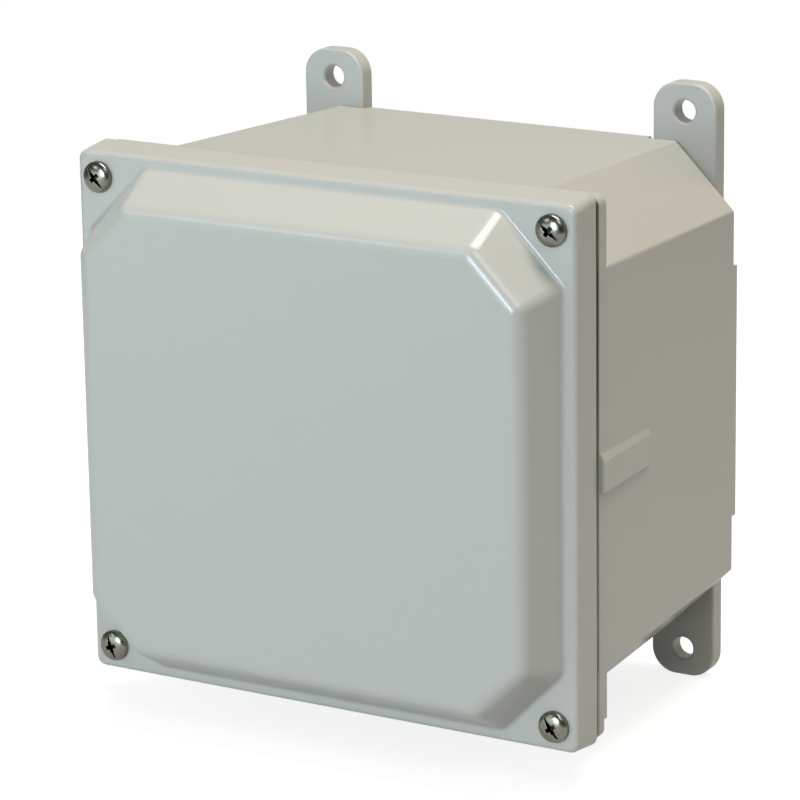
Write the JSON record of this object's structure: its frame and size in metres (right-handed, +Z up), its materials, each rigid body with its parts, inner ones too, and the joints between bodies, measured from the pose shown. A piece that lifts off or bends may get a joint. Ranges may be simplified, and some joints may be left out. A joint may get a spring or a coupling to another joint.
{
  "type": "hinged polycarbonate enclosure",
  "caption": "Wall-mount plastic electrical enclosure with chamfered corners, a raised hinged cover, captive corner screws and separate mounting feet.",
  "frame": {"origin": "centre of the four mounting-foot holes, on the wall plane at the rear faces of the feet", "axes": "+Z up, +Y into the wall, the cover faces -Y, +X to the right seen from the front"},
  "size_m": [0.1775, 0.1309, 0.1882],
  "materials": {
    "housing": "satin",
    "feet": "satin",
    "stainless": "satin",
    "zinc_screws": "satin",
    "insert_brass": "satin",
    "gasket_foam": "matte",
    "ring_nylon": "matte"
  },
  "bodies": {
    "enclosure": {"enclosure_body": "housing", "flange_insert_tr": "insert_brass", "flange_insert_br": "insert_brass", "hinge_pin_top": "stainless", "hinge_pin_bottom": "stainless", "foot_tl": "feet", "foot_tr": "feet", "foot_bl": "feet", "foot_br": "feet", "foot_screws": "zinc_screws", "panel_inserts": "insert_brass", "panel_screws": "zinc_screws"},
    "cover": {"cover": "housing", "gasket": "gasket_foam", "hinge_block_top": "housing", "hinge_block_bottom": "housing", "block_insert_top": "insert_brass", "block_insert_bottom": "insert_brass"},
    "ring_tl": {"screw_ring_tl": "ring_nylon"},
    "screw_tl": {"cover_screw_tl": "stainless"},
    "ring_tr": {"screw_ring_tr": "ring_nylon"},
    "screw_tr": {"cover_screw_tr": "stainless"},
    "ring_bl": {"screw_ring_bl": "ring_nylon"},
    "screw_bl": {"cover_screw_bl": "stainless"},
    "ring_br": {"screw_ring_br": "ring_nylon"},
    "screw_br": {"cover_screw_br": "stainless"}
  },
  "joints": [
    {"name": "cover_hinge", "type": "hinge", "parent": "enclosure", "child": "cover", "pos_m": [-0.0885, -0.0985, 0], "axis": [0, 0, -1], "range_deg": [0, 175]},
    {"name": "screw_travel_tl", "type": "slide", "parent": "cover", "child": "ring_tl", "axis": [0, -1, 0], "range_m": [0, 0.006]},
    {"name": "screw_turn_tl", "type": "hinge", "parent": "ring_tl", "child": "screw_tl", "pos_m": [-0.0765, -0.108, 0.0733], "axis": [0, -1, 0], "range_deg": [0, 2722]},
    {"name": "screw_travel_tr", "type": "slide", "parent": "cover", "child": "ring_tr", "axis": [0, -1, 0], "range_m": [0, 0.006]},
    {"name": "screw_turn_tr", "type": "hinge", "parent": "ring_tr", "child": "screw_tr", "pos_m": [0.0765, -0.108, 0.0733], "axis": [0, -1, 0], "range_deg": [0, 2722]},
    {"name": "screw_travel_bl", "type": "slide", "parent": "cover", "child": "ring_bl", "axis": [0, -1, 0], "range_m": [0, 0.006]},
    {"name": "screw_turn_bl", "type": "hinge", "parent": "ring_bl", "child": "screw_bl", "pos_m": [-0.0765, -0.108, -0.0733], "axis": [0, -1, 0], "range_deg": [0, 2722]},
    {"name": "screw_travel_br", "type": "slide", "parent": "cover", "child": "ring_br", "axis": [0, -1, 0], "range_m": [0, 0.006]},
    {"name": "screw_turn_br", "type": "hinge", "parent": "ring_br", "child": "screw_br", "pos_m": [0.0765, -0.108, -0.0733], "axis": [0, -1, 0], "range_deg": [0, 2722]}
  ],
  "couplings": [
    {"joint": "screw_turn_tl", "follows": "screw_travel_tl", "rad_per_m": 7915.8},
    {"joint": "screw_turn_tr", "follows": "screw_travel_tr", "rad_per_m": 7915.8},
    {"joint": "screw_turn_bl", "follows": "screw_travel_bl", "rad_per_m": 7915.8},
    {"joint": "screw_turn_br", "follows": "screw_travel_br", "rad_per_m": 7915.8}
  ]
}
